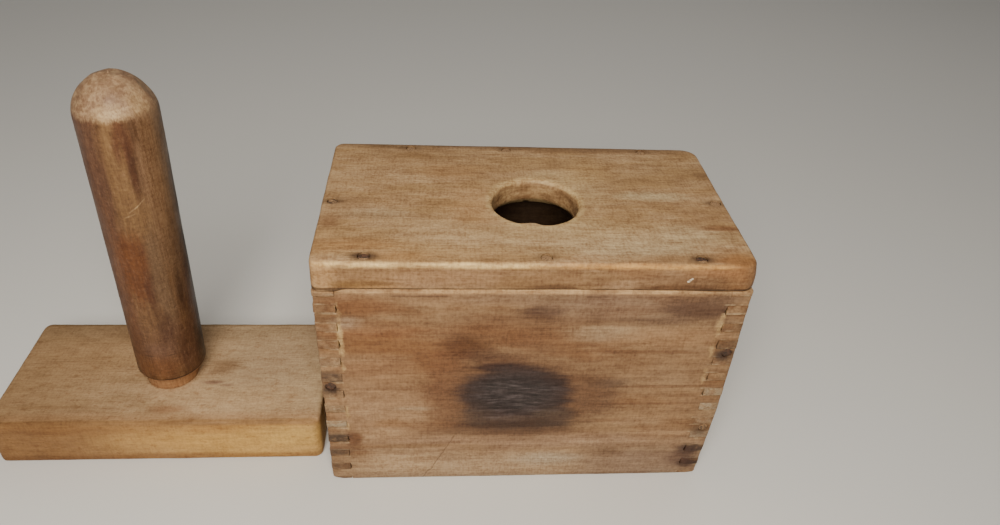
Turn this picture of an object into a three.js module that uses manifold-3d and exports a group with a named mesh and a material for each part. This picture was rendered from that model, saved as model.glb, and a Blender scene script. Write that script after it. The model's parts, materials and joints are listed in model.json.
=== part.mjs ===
// A two-pound butter mould: a finger-jointed wooden box, open below, whose nailed top has a hole for
// the handle, and the hand press that works in it, taken out and stood beside the box.
// Millimetres, +Z up. The origin is on the table, in the middle of the footprint of the pair.
// The box stands on the +X side, the press on the -X side, and their long sides run along X.

import * as THREE from "three";
import { mergeVertices } from "three/addons/utils/BufferGeometryUtils.js";
import Module from "manifold-3d";

const wasm = await Module();
wasm.setup();

// ---- Driving dimensions ----

const BOX_LENGTH = 178;
const BOX_WIDTH = 98;
const BOX_HEIGHT = 130;
const TOP_THICKNESS = 13;
const WALL_THICKNESS = 9;
const EASED_EDGE = 1.5; // the outside edges are worn round by use
const TOP_CORNER_RADIUS = 5;
const WALL_CORNER_RADIUS = 2.5;

const FINGER = 4.875; // width of one finger of the corner joints
const FIRST_FINGER = 2.6; // the uppermost finger is the end wall's, cut short by the top
const JOINT_GAP = 0.1; // each piece stops this far short of the line where two of them meet

const HANDLE_HOLE_RADIUS = 18.8;
const HANDLE_HOLE_RIM = 2.4; // its upper edge is worn round
const HANDLE_HOLE_FLARE = 2.8; // and its lower edge broken away
const HANDLE_HOLE = { x: 3, y: -3.5 }; // bored a little off the centre of the top

const PRESS_LENGTH = 152;
const PRESS_WIDTH = 71;
const PRESS_THICKNESS = 26;
const PRESS_GAP = 6.4; // from the press board to the box, side by side

const HANDLE_RADIUS = 15.75;
const HANDLE_TOP_RADIUS = 15.5;
const HANDLE_LENGTH = 142.5; // from the top of the board to where the rounded end starts
const HANDLE_END = 16.3; // height of the rounded end
const END_FULLNESS = 1.76; // 2 is an ellipse, 1 a plain cone
const HANDLE_LEAN = THREE.MathUtils.degToRad(2.5); // the socket is bored out of square
const HANDLE_Y = -1.2; // and a little in front of the board's middle
const NECK_HEIGHT = 9.2; // how far the shoulder stands clear of the board
const SHOULDER_CHAMFER = 0.5;
const TENON_RADIUS = 12;
const SOCKET_DEPTH = 18;
const SOCKET_CLEARANCE = 0.3;

const NAIL_RADIUS = 1.1;
const NAIL_HEAD_RADIUS = 2.3;
const NAIL_HEAD = 1;
const NAIL_POINT = 4;
const NAIL_SUNK = 0.4; // the heads are set just below the wood
const NAIL_CLEARANCE = 0.2;
const TOP_NAIL_LENGTH = 32;
const CORNER_NAIL_LENGTH = 26;
const CORNER_NAIL_INSET = 3.8; // from the end of the box

const ROUND_SEGMENTS = 36;
const NAIL_SEGMENTS = 10;

// ---- Places worked out from them ----

const WALL_HEIGHT = BOX_HEIGHT - TOP_THICKNESS;
const PAIR_LENGTH = PRESS_LENGTH + PRESS_GAP + BOX_LENGTH;
const BOX_X = (PAIR_LENGTH - BOX_LENGTH) / 2;
const PRESS_X = (PRESS_LENGTH - PAIR_LENGTH) / 2;
const HALF_LENGTH = BOX_LENGTH / 2;
const HALF_WIDTH = BOX_WIDTH / 2;

// ---- Colours ----

const wood = (color, roughness) => new THREE.MeshStandardMaterial({ color, roughness, metalness: 0 });
const boxWood = wood(0xb98f60, 0.7);
const topWood = wood(0xbf9868, 0.65);
const pressWood = wood(0xc7a06c, 0.7);
const handleWood = wood(0x946644, 0.5);
const iron = new THREE.MeshStandardMaterial({ color: 0x2e2825, roughness: 0.75, metalness: 0.6 });

// ---- Solids and meshes ----

// A closed three.js geometry as a solid that can be cut and joined.
function solidOf(geometry) {
  const plain = geometry.clone();
  plain.deleteAttribute("normal");
  plain.deleteAttribute("uv");
  const merged = mergeVertices(plain, 1e-4);
  return new wasm.Manifold(
    new wasm.Mesh({
      numProp: 3,
      vertProperties: merged.attributes.position.array,
      triVerts: new Uint32Array(merged.index.array),
    }),
  );
}

function geometryOf(solid) {
  const { vertProperties, triVerts } = solid.getMesh();
  const geometry = new THREE.BufferGeometry();
  geometry.setAttribute("position", new THREE.BufferAttribute(vertProperties, 3));
  geometry.setIndex(new THREE.BufferAttribute(triVerts, 1));
  geometry.computeVertexNormals();
  return geometry;
}

function addPiece(group, name, geometry, material) {
  const mesh = new THREE.Mesh(geometry, material);
  mesh.name = name;
  group.add(mesh);
  return mesh;
}

// A block standing on z = 0 with rounded upright corners and eased edges above and below.
function easedBlock(length, width, height, cornerRadius, bevel, cornerSteps = 4) {
  const x = length / 2;
  const y = width / 2;
  const r = cornerRadius;
  const outline = new THREE.Shape();
  outline.moveTo(-x + r, -y);
  outline.lineTo(x - r, -y);
  outline.absarc(x - r, -y + r, r, -Math.PI / 2, 0);
  outline.lineTo(x, y - r);
  outline.absarc(x - r, y - r, r, 0, Math.PI / 2);
  outline.lineTo(-x + r, y);
  outline.absarc(-x + r, y - r, r, Math.PI / 2, Math.PI);
  outline.lineTo(-x, -y + r);
  outline.absarc(-x + r, -y + r, r, Math.PI, Math.PI * 1.5);
  return new THREE.ExtrudeGeometry(outline, {
    depth: height - 2 * bevel,
    curveSegments: cornerSteps,
    bevelThickness: bevel,
    bevelSize: bevel,
    bevelOffset: -bevel,
    bevelSegments: 1,
  }).translate(0, 0, bevel);
}

// The heights where one finger ends and the next starts, from the top of the wall down.
function fingerLines() {
  const lines = [WALL_HEIGHT, WALL_HEIGHT - FIRST_FINGER];
  while (lines[lines.length - 1] > FINGER) {
    lines.push(lines[lines.length - 1] - FINGER);
  }
  lines.push(0);
  return lines;
}

// The outline of a wall with fingers at both ends: span is its full length, and the fingers are as
// long as the other wall is thick. reaches(i) says whether finger i, counted from the top, is this wall's.
function fingerOutline(span, reaches) {
  const lines = fingerLines();
  const tip = span / 2;
  const root = tip - WALL_THICKNESS - JOINT_GAP;
  const side = [];
  for (let i = 0; i < lines.length - 1; i += 1) {
    const out = reaches(i);
    const shrink = out ? JOINT_GAP : -JOINT_GAP;
    const top = i === 0 ? lines[i] : lines[i] - shrink;
    const bottom = i === lines.length - 2 ? lines[i + 1] : lines[i + 1] + shrink;
    side.push([out ? tip : root, top], [out ? tip : root, bottom]);
  }
  const right = side.map(([x, z]) => new THREE.Vector2(x, z));
  const left = side.map(([x, z]) => new THREE.Vector2(-x, z)).reverse();
  return new THREE.Shape([...right, ...left]);
}

function wallBlank(span, reaches) {
  return new THREE.ExtrudeGeometry(fingerOutline(span, reaches), {
    depth: WALL_THICKNESS,
    bevelEnabled: false,
  });
}

// ---- Nails ----

// A cut nail pointing down, its head's face at z = 0. grow makes the hole that it sits in.
function nailGeometry(length, grow = 0) {
  const shank = NAIL_RADIUS + grow;
  const head = NAIL_HEAD_RADIUS + grow;
  const profile = [
    [0, -length - grow],
    [NAIL_RADIUS * 0.3 + grow, -length - grow],
    [shank, -length + NAIL_POINT],
    [shank, -NAIL_HEAD - grow],
    [head, -NAIL_HEAD - grow],
    [head, grow > 0 ? NAIL_SUNK + 1 : 0],
    [0, grow > 0 ? NAIL_SUNK + 1 : 0],
  ].map(([r, z]) => new THREE.Vector2(r, z));
  return new THREE.LatheGeometry(profile, NAIL_SEGMENTS).rotateX(Math.PI / 2);
}

// Where each nail's head is, and which way it is driven, seen from the middle of the box.
function nailPlaces() {
  const topEdge = HALF_WIDTH - 4.5;
  const topEnd = HALF_LENGTH - 4.6;
  const top = {
    top_nail_front_left: [-68, -topEdge],
    top_nail_front_middle: [3.5, -topEdge],
    top_nail_front_right: [66, -topEdge],
    top_nail_back_left: [-52.5, topEdge],
    top_nail_back_middle: [-6.5, topEdge],
    top_nail_back_right: [60.5, topEdge],
    top_nail_left_end: [-topEnd, -4.5],
    top_nail_right_end: [topEnd, -2],
  };
  const places = Object.entries(top).map(([name, [x, y]]) => ({
    name,
    length: TOP_NAIL_LENGTH,
    matrix: new THREE.Matrix4().makeTranslation(x, y, BOX_HEIGHT - NAIL_SUNK),
  }));
  // The corner nails go through a finger of the front or back wall into the end wall behind it.
  const fingers = {
    front_left: [5],
    front_right: [3, 8],
    back_left: [3, 8],
    back_right: [5],
  };
  for (const [corner, list] of Object.entries(fingers)) {
    const [face, end] = corner.split("_");
    const x = (end === "left" ? -1 : 1) * (HALF_LENGTH - CORNER_NAIL_INSET);
    const outward = face === "front" ? -1 : 1;
    list.forEach((finger, i) => {
      const z = WALL_HEIGHT - FIRST_FINGER - FINGER * (2 * finger + 0.5);
      const turn = new THREE.Matrix4().makeRotationX((-outward * Math.PI) / 2);
      const move = new THREE.Matrix4().makeTranslation(x, outward * (HALF_WIDTH - NAIL_SUNK), z);
      places.push({
        name: `corner_nail_${corner}_${i + 1}`,
        length: CORNER_NAIL_LENGTH,
        matrix: move.multiply(turn),
      });
    });
  }
  return places;
}

// ---- The box ----

// The solid that is cut away for the handle, standing on the axis of the hole.
function handleHoleGeometry() {
  const low = WALL_HEIGHT + JOINT_GAP;
  const profile = [
    [0, low - 1],
    [HANDLE_HOLE_RADIUS + HANDLE_HOLE_FLARE + 1, low - 1],
    [HANDLE_HOLE_RADIUS, low + HANDLE_HOLE_FLARE],
  ];
  const rimSteps = 4;
  for (let i = 0; i <= rimSteps; i += 1) {
    const a = (i / rimSteps) * (Math.PI / 2);
    profile.push([
      HANDLE_HOLE_RADIUS + HANDLE_HOLE_RIM * (1 - Math.cos(a)),
      BOX_HEIGHT - HANDLE_HOLE_RIM * (1 - Math.sin(a)),
    ]);
  }
  profile.push([HANDLE_HOLE_RADIUS + HANDLE_HOLE_RIM, BOX_HEIGHT + 1], [0, BOX_HEIGHT + 1]);
  const points = profile.map(([r, z]) => new THREE.Vector2(r, z));
  return new THREE.LatheGeometry(points, ROUND_SEGMENTS).rotateX(Math.PI / 2);
}

function makeBox() {
  const box = new THREE.Group();
  const nails = nailPlaces();
  const nailHoles = nails.map(({ length, matrix }) =>
    solidOf(nailGeometry(length, NAIL_CLEARANCE).applyMatrix4(matrix)),
  );
  const cutNailHoles = (solid) => nailHoles.reduce((rest, hole) => rest.subtract(hole), solid);

  // The outside of the assembled box, which trims each wall's corners and its foot.
  const wallEnvelope = solidOf(
    easedBlock(BOX_LENGTH, BOX_WIDTH, BOX_HEIGHT, WALL_CORNER_RADIUS, EASED_EDGE, 1),
  );
  const isFrontFinger = (i) => i % 2 === 1;
  const isEndFinger = (i) => i % 2 === 0;
  const addWall = (name, blank) => {
    const solid = cutNailHoles(solidOf(blank).intersect(wallEnvelope));
    addPiece(box, name, geometryOf(solid), boxWood);
  };
  // Upright in the XZ plane, then moved to the front or back.
  const longWall = () => wallBlank(BOX_LENGTH, isFrontFinger).rotateX(Math.PI / 2);
  addWall("front_wall", longWall().translate(0, WALL_THICKNESS - HALF_WIDTH, 0));
  addWall("back_wall", longWall().translate(0, HALF_WIDTH, 0));
  const endWall = () => wallBlank(BOX_WIDTH, isEndFinger).rotateX(Math.PI / 2).rotateZ(Math.PI / 2);
  addWall("left_end_wall", endWall().translate(-HALF_LENGTH, 0, 0));
  addWall("right_end_wall", endWall().translate(HALF_LENGTH - WALL_THICKNESS, 0, 0));

  const lift = WALL_HEIGHT + JOINT_GAP;
  const board = solidOf(
    easedBlock(BOX_LENGTH, BOX_WIDTH, TOP_THICKNESS - JOINT_GAP, TOP_CORNER_RADIUS, EASED_EDGE),
  ).translate([0, 0, lift]);
  const hole = solidOf(handleHoleGeometry()).translate([HANDLE_HOLE.x, HANDLE_HOLE.y, 0]);
  addPiece(box, "top_board", geometryOf(cutNailHoles(board.subtract(hole))), topWood);

  for (const { name, length, matrix } of nails) {
    const nail = addPiece(box, name, nailGeometry(length), iron);
    nail.applyMatrix4(matrix);
  }
  return box;
}

// ---- The press ----

// The handle stands on z = 0 at the board's face, with its tenon below.
function handleGeometry() {
  const profile = [
    [0, -SOCKET_DEPTH],
    [TENON_RADIUS, -SOCKET_DEPTH],
    [TENON_RADIUS, NECK_HEIGHT],
    [HANDLE_RADIUS - SHOULDER_CHAMFER, NECK_HEIGHT],
    [HANDLE_RADIUS, NECK_HEIGHT + SHOULDER_CHAMFER],
  ].map(([r, z]) => new THREE.Vector2(r, z));
  const endSteps = 8;
  for (let i = 0; i <= endSteps; i += 1) {
    const a = (i / endSteps) * (Math.PI / 2);
    const across = i === endSteps ? 0 : Math.cos(a) ** (2 / END_FULLNESS);
    const along = Math.sin(a) ** (2 / END_FULLNESS);
    profile.push(new THREE.Vector2(HANDLE_TOP_RADIUS * across, HANDLE_LENGTH + HANDLE_END * along));
  }
  return new THREE.LatheGeometry(profile, ROUND_SEGMENTS).rotateX(Math.PI / 2);
}

function makePress() {
  const press = new THREE.Group();
  const lean = new THREE.Matrix4()
    .makeTranslation(0, HANDLE_Y, PRESS_THICKNESS)
    .multiply(new THREE.Matrix4().makeRotationY(HANDLE_LEAN));
  const bore = TENON_RADIUS + SOCKET_CLEARANCE;
  const boreLength = SOCKET_DEPTH + SOCKET_CLEARANCE + PRESS_THICKNESS;
  const socket = new THREE.CylinderGeometry(bore, bore, boreLength, ROUND_SEGMENTS)
    .rotateX(Math.PI / 2)
    .translate(0, 0, boreLength / 2 - SOCKET_DEPTH - SOCKET_CLEARANCE)
    .applyMatrix4(lean);
  const board = solidOf(easedBlock(PRESS_LENGTH, PRESS_WIDTH, PRESS_THICKNESS, 3, EASED_EDGE));
  addPiece(press, "press_board", geometryOf(board.subtract(solidOf(socket))), pressWood);
  const handle = addPiece(press, "handle", handleGeometry(), handleWood);
  handle.applyMatrix4(lean);
  return press;
}

const mould = new THREE.Group();
const box = makeBox();
box.position.x = BOX_X;
const press = makePress();
press.position.x = PRESS_X;
mould.add(box, press);

export default mould;
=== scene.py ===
"""The looks of an old wooden butter mould and its hand press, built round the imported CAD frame.

The box stands on the right, the press on the left. Shapes are worked out in millimetres from the middle
of each piece's foot and turned into metres when a mesh is made.
"""

import json
import math
import random

import bmesh
import bpy
import numpy as np
from mathutils import Matrix, Vector, noise


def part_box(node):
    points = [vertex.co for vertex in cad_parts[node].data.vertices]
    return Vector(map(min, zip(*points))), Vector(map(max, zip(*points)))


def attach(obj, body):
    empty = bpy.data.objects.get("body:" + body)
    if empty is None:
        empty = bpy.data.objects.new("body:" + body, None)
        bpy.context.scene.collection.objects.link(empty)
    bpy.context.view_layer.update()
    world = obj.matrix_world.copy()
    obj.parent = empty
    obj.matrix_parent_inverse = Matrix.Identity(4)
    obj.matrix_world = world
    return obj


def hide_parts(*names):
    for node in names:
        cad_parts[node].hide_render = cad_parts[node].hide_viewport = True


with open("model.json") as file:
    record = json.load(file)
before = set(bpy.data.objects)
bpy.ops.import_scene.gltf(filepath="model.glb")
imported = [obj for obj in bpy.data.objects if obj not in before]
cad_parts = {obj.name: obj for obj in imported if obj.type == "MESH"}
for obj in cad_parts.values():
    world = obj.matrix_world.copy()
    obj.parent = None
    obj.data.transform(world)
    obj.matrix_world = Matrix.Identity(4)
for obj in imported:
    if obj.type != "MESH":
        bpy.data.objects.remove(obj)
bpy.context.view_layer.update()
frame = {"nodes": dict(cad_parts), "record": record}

MM = 0.001

# ---------------------------------------------------------------- sizes, in millimetres


def box_mm(node):
    """The CAD node's lowest and highest corners in millimetres."""
    return [np.array(corner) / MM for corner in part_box(node)]


def foot_of(lo, hi):
    """The middle of the foot of a piece that stands between two corners."""
    return np.array([(lo[0] + hi[0]) / 2, (lo[1] + hi[1]) / 2, 0])


top_lo, top_hi = box_mm("top_board")
front_lo, front_hi = box_mm("front_wall")
press_lo, press_hi = box_mm("press_board")

BOX_FOOT = foot_of(top_lo, top_hi)
HALF_LENGTH, HALF_WIDTH, _ = (top_hi - top_lo) / 2
BOX_HEIGHT = top_hi[2]
TOP_UNDERSIDE = top_lo[2]
WALL_HEIGHT = front_hi[2]
WALL = front_hi[1] - front_lo[1]

FINGER = 4.875
FIRST_FINGER = 2.6
JOINT_GAP = 0.1

HOLE = np.array([3.0, -3.5])
HOLE_RADIUS = 18.8
HOLE_RIM = 2.4
HOLE_FLARE = 2.8

PRESS_FOOT = foot_of(press_lo, press_hi)
PRESS_HALF_LENGTH, PRESS_HALF_WIDTH, _ = (press_hi - press_lo) / 2
PRESS_HEIGHT = press_hi[2]

HANDLE_Y = -1.2
HANDLE_RADIUS = 15.75
HANDLE_TOP_RADIUS = 15.8
HANDLE_LENGTH = 142.5
HANDLE_END = 16.3
END_FULLNESS = 1.76
NECK_HEIGHT = 9.2
TENON_RADIUS = 12.0
SOCKET_DEPTH = 18.0
SOCKET_CLEARANCE = 0.3

NAIL_RADIUS = 1.1
NAIL_HEAD_RADIUS = 2.3
NAIL_SUNK = 0.4
NAIL_HOLE_CLEARANCE = 0.07

joints = frame["record"]["behaviour"]["joints"]
handle_axis = next(Vector(joint["axis"]) for joint in joints if joint["name"] == "handle_pull")
LEAN = math.atan2(handle_axis.x, handle_axis.z)
LEAN_MATRIX = Matrix.Translation((0, HANDLE_Y, PRESS_HEIGHT)) @ Matrix.Rotation(LEAN, 4, "Y")

# ---------------------------------------------------------------- shader nodes, written shortly


def srgb(text):
    """A colour written as hex, as the linear values that nodes take."""
    values = [int(text[i : i + 2], 16) / 255 for i in (0, 2, 4)]
    return [v / 12.92 if v <= 0.04045 else ((v + 0.055) / 1.055) ** 2.4 for v in values] + [1]


class Graph:
    """One material. What goes into its nodes is a number, a list, a colour as hex or a Value."""

    def __init__(self, name):
        self.material = bpy.data.materials.new(name)
        self.material.use_nodes = True
        self.tree = self.material.node_tree
        self.shader = self.tree.nodes["Principled BSDF"]

    def put(self, sockets, inputs):
        """Fills sockets; inputs are keyed by a socket's name or number."""
        for key, given in inputs.items():
            if isinstance(given, Value):
                self.tree.links.new(given.socket, sockets[key])
            else:
                sockets[key].default_value = srgb(given) if isinstance(given, str) else given

    def node(self, kind, inputs, output=0, **settings):
        made = self.tree.nodes.new(kind)
        for key, setting in settings.items():
            setattr(made, key, setting)
        self.put(made.inputs, inputs)
        return Value(self, made.outputs[output])

    def mix(self, amount, a, b, blend="MIX"):
        """Colour a turned into colour b by amount."""
        inputs = {"Factor": amount, 6: a, 7: b}
        settings = {"data_type": "RGBA", "blend_type": blend, "clamp_factor": True}
        return self.node("ShaderNodeMix", inputs, 2, **settings)

    def attribute(self, name):
        return self.node("ShaderNodeAttribute", {}, "Fac", attribute_name=name)

    def place(self, foot):
        """The shaded point in millimetres from a piece's foot; it stays on the piece when the piece moves."""
        coordinates = self.node("ShaderNodeTexCoord", {}, "Object")
        return coordinates.vector("MULTIPLY", [1 / MM] * 3).vector("SUBTRACT", list(foot))

    def finish(self, relief, strength, distance, inputs):
        """Joins the shader's inputs, and relief as a bump that is distance millimetres high."""
        bump = {"Strength": strength, "Distance": distance * MM, "Height": relief}
        self.put(self.shader.inputs, {"Normal": self.node("ShaderNodeBump", bump), **inputs})
        return self.material


class Value:
    """A number, place or colour that a graph works out at each shaded point."""

    def __init__(self, graph, socket):
        self.graph = graph
        self.socket = socket

    def math(self, operation, *others):
        return self.graph.node("ShaderNodeMath", dict(enumerate((self, *others))), operation=operation)

    def vector(self, operation, *others):
        output = "Value" if operation == "LENGTH" else "Vector"
        return self.graph.node(
            "ShaderNodeVectorMath", dict(enumerate((self, *others))), output, operation=operation
        )

    def __add__(self, other):
        return self.math("ADD", other)

    def __sub__(self, other):
        return self.math("SUBTRACT", other)

    def __mul__(self, other):
        return self.math("MULTIPLY", other)

    def __abs__(self):
        return self.math("ABSOLUTE")

    def split(self):
        """This place's X, Y and Z."""
        return [self.graph.node("ShaderNodeSeparateXYZ", {0: self}, i) for i in range(3)]

    def step(self, low, high, to_low=0.0, to_high=1.0):
        """Goes smoothly from to_low to to_high as the value goes from low to high; low may be the larger."""
        if low > high:
            low, high, to_low, to_high = high, low, to_high, to_low
        inputs = {"Value": self, "From Min": low, "From Max": high, "To Min": to_low, "To Max": to_high}
        return self.graph.node("ShaderNodeMapRange", inputs, "Result", interpolation_type="SMOOTHSTEP")

    def noise(self, sizes, detail=3.0, roughness=0.5, distortion=0.0, shift=0.0):
        """Noise whose blotches are about sizes millimetres long: one number, or X, Y and Z."""
        scaled = self.vector("MULTIPLY", list(1 / np.broadcast_to(sizes, 3)))
        if shift:
            scaled = scaled.vector("ADD", [shift, shift * 1.7, shift * 0.6])
        look = {"Detail": detail, "Roughness": roughness, "Distortion": distortion}
        return self.graph.node("ShaderNodeTexNoise", {"Vector": scaled, "Scale": 1.0, **look}, "Fac")

    def spot(self, centre, radii, soft=0.5, ragged=None, strength=1.0):
        """Strength in an ellipsoid round centre and 0 outside it, fading over the soft part of its radius."""
        away = self.vector("SUBTRACT", list(centre)).vector("MULTIPLY", [1 / r for r in radii])
        distance = away.vector("LENGTH")
        if ragged:
            distance += ragged
        return distance.step(1 + soft, 1 - soft, 0.0, strength)

    def cover(self, amount, tone):
        """This colour, hidden by another one by amount."""
        return self.graph.mix(amount, self, tone)

    def stain(self, amount, tone):
        """This colour, stained by amount; tone is what white would turn to, so the grain shows through."""
        return self.graph.mix(amount, self, tone, "MULTIPLY")


# ---------------------------------------------------------------- wood


def along(axis, length, across):
    """Sizes of a streak that runs along axis 0, 1 or 2."""
    return [length if i == axis else across for i in range(3)]


def wood(place, axis, pale, dark, pith, ring=3.2, shift=0.0, streaky=0.5):
    """Bare fine-grained wood with its grain along axis: its colour, and its bump height and grain.

    pale and dark are its tones; pith is a point on the centre line of the growth rings. The grain goes
    from 0 to 1 and is laid over the colour and its stains by finish_wood.
    """
    sway = place.noise(along(axis, 70, 26), detail=2, shift=shift + 3)
    from_pith = place.vector("SUBTRACT", pith).vector("MULTIPLY", along(axis, 0.0, 1.0))
    radius = from_pith.vector("LENGTH") + sway * 16
    rings = (radius * (2 * math.pi / ring)).math("SINE").step(-0.9, 1.0)
    warmth = place.noise(along(axis, 34, 9), detail=4, roughness=0.6, distortion=0.3, shift=shift + 11)
    colour = place.graph.mix(warmth.step(0.38, 0.62), pale, dark)
    streaks = place.noise(along(axis, 60, 3.4), detail=5, roughness=0.62, distortion=0.2, shift=shift + 12)
    mottle = place.noise(along(axis, 10, 4.5), detail=5, roughness=0.68, shift=shift + 13)
    uneven = streaks * streaky + mottle * (1 - streaky)
    fibres = place.noise(along(axis, 14, 0.9), detail=3, roughness=0.6, shift=shift + 7)
    scrapes = place.noise(along(axis, 0.9, 6), detail=2, shift=shift + 23)
    flecks = place.noise(along(axis, 3.0, 0.6), detail=1, shift=shift + 17).step(0.62, 0.74)
    fuzz = place.noise(1.2, detail=2, shift=shift + 19)
    grain = uneven.step(0.38, 0.62) * 0.45
    grain += fibres.step(0.38, 0.66) * 0.32
    grain += scrapes.step(0.44, 0.66) * 0.2
    grain += fuzz.step(0.38, 0.66) * 0.34
    grain += flecks * 0.18
    grain += rings * 0.1
    height = fibres * 0.8 + rings * 0.12 + flecks * -0.28
    return colour, (height, grain)


def finish_wood(place, colour, figure, age, roughness, shine=0.28, coat=0.0, depth=0.6):
    """Lays the grain over the colour and joins colour, bump and uneven roughness to the shader.

    figure is the wood's height and grain; age is the tint that it has taken on all over.
    """
    height, grain = figure
    dents = place.noise(7, detail=3, shift=29)
    pores = place.noise(0.7, detail=2, shift=31)
    rough = place.noise(16, detail=4, shift=37)
    surface = {
        "Base Color": colour.stain(grain * depth, "8f6f56").stain(1.0, age),
        "Roughness": rough.step(0.3, 0.7, roughness - 0.1, roughness + 0.12),
        "Specular IOR Level": shine,
        "Coat Weight": coat,
        "Coat Roughness": 0.45,
    }
    return place.graph.finish(height + dents * 0.9 + pores * 0.22, 0.6, 0.35, surface)


def patches(place, colour, ragged, across, level, marks):
    """Pale patches and stains on the flat face where coordinate number across is at level.

    Each mark is its two coordinates on the face, its half sizes, softness, strength and colour, and
    "stain" if the wood below shows through it.
    """
    for a, b, size_a, size_b, soft, strength, tone, *kind in marks:
        centre, radii = [a, b], [size_a, size_b]
        centre.insert(across, level)
        radii.insert(across, 25)
        # A large mark keeps its shape: its edge is no more ragged, in millimetres, than a small one's.
        edge = ragged * min(1.0, 8 / max(size_a, size_b))
        amount = place.spot(centre, radii, soft, edge, strength)
        colour = colour.stain(amount, tone) if kind else colour.cover(amount, tone)
    return colour


def ragged_edges(place, axis, shift):
    """A little noise that makes the edges of marks ragged along the grain."""
    coarse = place.noise(along(axis, 18, 5), detail=4, roughness=0.62, shift=shift)
    fine = place.noise(along(axis, 6, 0.9), detail=3, shift=shift + 1)
    return coarse * 1.5 + (fine * 0.5 + -1.0)


# ---------------------------------------------------------------- meshes


def mesh_of(name, points, faces):
    mesh = bpy.data.meshes.new(name)
    mesh.from_pydata([tuple(p) for p in points], [], faces)
    mesh.validate()
    mesh.update()
    return mesh


def circle(radius, count, z):
    """A ring of points at height z, or the one point at its middle."""
    angles = [2 * math.pi * i / count for i in range(count)]
    return [(radius * math.cos(a), radius * math.sin(a), z) for a in angles] if radius else [(0, 0, z)]


def skin(rings, closed=False):
    """Joins rings of points in order, and last to first if closed. A ring of one point closes an end."""
    starts = np.cumsum([0] + [len(ring) for ring in rings])
    faces = []
    for r in range(len(rings) if closed else len(rings) - 1):
        s = (r + 1) % len(rings)
        a, b = int(starts[r]), int(starts[s])
        count = max(len(rings[r]), len(rings[s]))
        for i in range(count):
            j = (i + 1) % count
            if len(rings[r]) == 1:
                faces.append((a, b + j, b + i))
            elif len(rings[s]) == 1:
                faces.append((a + i, a + j, b))
            else:
                faces.append((a + i, a + j, b + j, b + i))
    return [p for ring in rings for p in ring], faces


def between(inner, outer, parts, last):
    """Rings in equal parts of the way from one ring to another, from the first part to the last wanted."""
    inner, outer = np.array(inner), np.array(outer)
    return [[tuple(p) for p in inner + (outer - inner) * k / parts] for k in range(1, last + 1)]


def quarter(radius, steps):
    """A rounded arris: how far in from the side and how far below the face, from the face to the side."""
    angles = [math.pi / 2 * k / steps for k in range(1, steps + 1)]
    return [(radius * (1 - math.sin(a)), radius * (1 - math.cos(a))) for a in angles]


def smooth(value, low, high):
    t = min(1.0, max(0.0, (value - low) / (high - low)))
    return t * t * (3 - 2 * t)


def wobble(p, size, seed=0.0):
    """Smooth noise from -1 to 1 whose bumps are size millimetres across."""
    return noise.noise(Vector((p[0] / size + seed, p[1] / size - seed, p[2] / size + 2 * seed)))


def mesh_vectors(mesh, key):
    values = np.empty(len(mesh.vertices) * 3)
    mesh.vertices.foreach_get(key, values)
    return values.reshape(-1, 3)


def finish_piece(name, mesh, foot, material, body, wear, attributes=()):
    """Wears a mesh given in millimetres, and puts it in its CAD node's place with its material."""
    points, normals = mesh_vectors(mesh, "co"), mesh_vectors(mesh, "normal")
    for key, function in dict(attributes).items():
        layer = mesh.attributes.new(key, "FLOAT", "POINT")
        layer.data.foreach_set("value", [function(p) for p in points])
    points = np.array([wear(p, n) for p, n in zip(points, normals)])
    mesh.vertices.foreach_set("co", ((points + foot) * MM).ravel())
    mesh.polygons.foreach_set("use_smooth", [True] * len(mesh.polygons))
    mesh.set_sharp_from_angle(angle=math.radians(50))
    mesh.materials.clear()
    mesh.materials.append(material)
    mesh.update()
    made = add_object(name, mesh)
    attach(made, body)
    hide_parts(name)


def add_object(name, data):
    made = bpy.data.objects.new(name, data)
    bpy.context.scene.collection.objects.link(made)
    return made


def cut_holes(mesh, cutter):
    """Cuts the closed shells of cutter out of mesh and returns the result."""
    worked, tool = add_object("worked", mesh), add_object("tool", cutter)
    modifier = worked.modifiers.new("cut", "BOOLEAN")
    modifier.operation = "DIFFERENCE"
    modifier.solver = "EXACT"
    modifier.object = tool
    bpy.context.view_layer.update()
    result = bpy.data.meshes.new_from_object(worked.evaluated_get(bpy.context.evaluated_depsgraph_get()))
    for used in (worked, tool):
        bpy.data.objects.remove(used)
    return result


# ---------------------------------------------------------------- nails

NAIL_SIDES = 20


def nail_profile(length):
    """Radius and height of a nail that points down, with the face of its domed head at 0."""
    point = [(0, -length), (0.35, -length), (NAIL_RADIUS * 0.8, -length + 3)]
    shank = [(NAIL_RADIUS, -length + 5), (NAIL_RADIUS, -1.0)]
    head = [(0.9, -0.85), (1, -0.45), (0.93, -0.12), (0.6, 0.0), (0.3, 0.02), (0, 0.0)]
    return point + shank + [(NAIL_HEAD_RADIUS * share, z) for share, z in head]


def nail_hole_profile(length):
    """The hole of that nail, open to the wood's face and a little flared there."""
    shank, head = NAIL_RADIUS + NAIL_HOLE_CLEARANCE, NAIL_HEAD_RADIUS + NAIL_HOLE_CLEARANCE
    bottom, above = -length - NAIL_HOLE_CLEARANCE, NAIL_SUNK + 0.4
    bore = [(0, bottom), (0.5, bottom), (shank, -length + 4), (shank, -1.1)]
    seat = [(head, -1.0), (head, 0.0), (head + 0.05, NAIL_SUNK * 0.7), (head + 0.25, above), (0, above)]
    return bore + seat


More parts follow.
